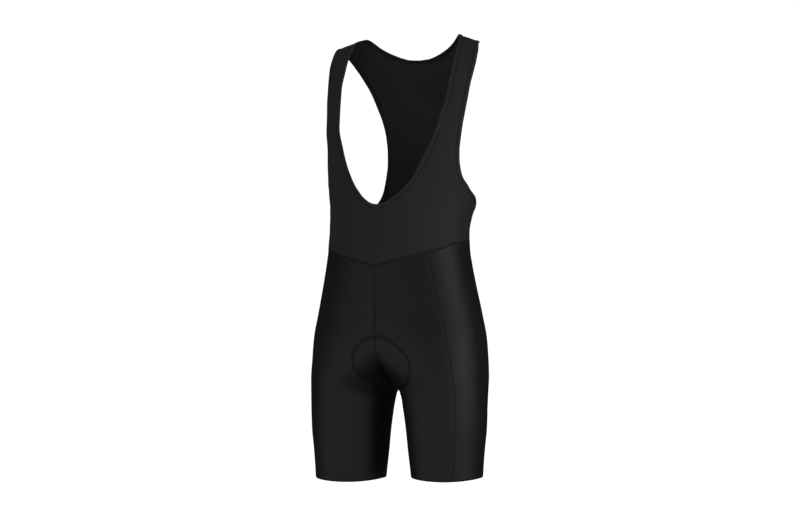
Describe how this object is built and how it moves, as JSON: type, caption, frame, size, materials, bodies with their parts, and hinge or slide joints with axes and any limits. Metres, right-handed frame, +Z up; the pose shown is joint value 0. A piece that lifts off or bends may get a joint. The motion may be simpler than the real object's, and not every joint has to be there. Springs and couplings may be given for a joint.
{
  "type": "cycling bib shorts",
  "caption": "Sleeveless cycling bib shorts in stretch knit, worn shape, hollow: scooped bib with wide straps, V waist seam, panelled legs, bound edges and a moulded seat pad.",
  "frame": {"origin": "midway between the two strap tops, at their height, where the wearer's shoulders hold the garment", "axes": "+Z up; the front faces -Y; the wearer's left is +X"},
  "size_m": [0.3568, 0.2205, 0.8627],
  "materials": {
    "bib_knit": "matt black stretch knit",
    "shorts_knit": "black stretch knit with a slight sheen",
    "side_knit": "black stretch knit with a soft sheen",
    "binding_elastic": "folded black elastic",
    "pad_cloth": "brushed dark grey microfibre over foam"
  },
  "bodies": {
    "root": {"bib_front": "bib_knit", "bib_back": "bib_knit", "shorts_front_L": "shorts_knit", "shorts_front_R": "shorts_knit", "shorts_side_back_L": "side_knit", "shorts_side_back_R": "side_knit", "seat_pad": "pad_cloth", "neck_binding": "binding_elastic", "armhole_binding_L": "binding_elastic", "armhole_binding_R": "binding_elastic"}
  },
  "joints": []
}
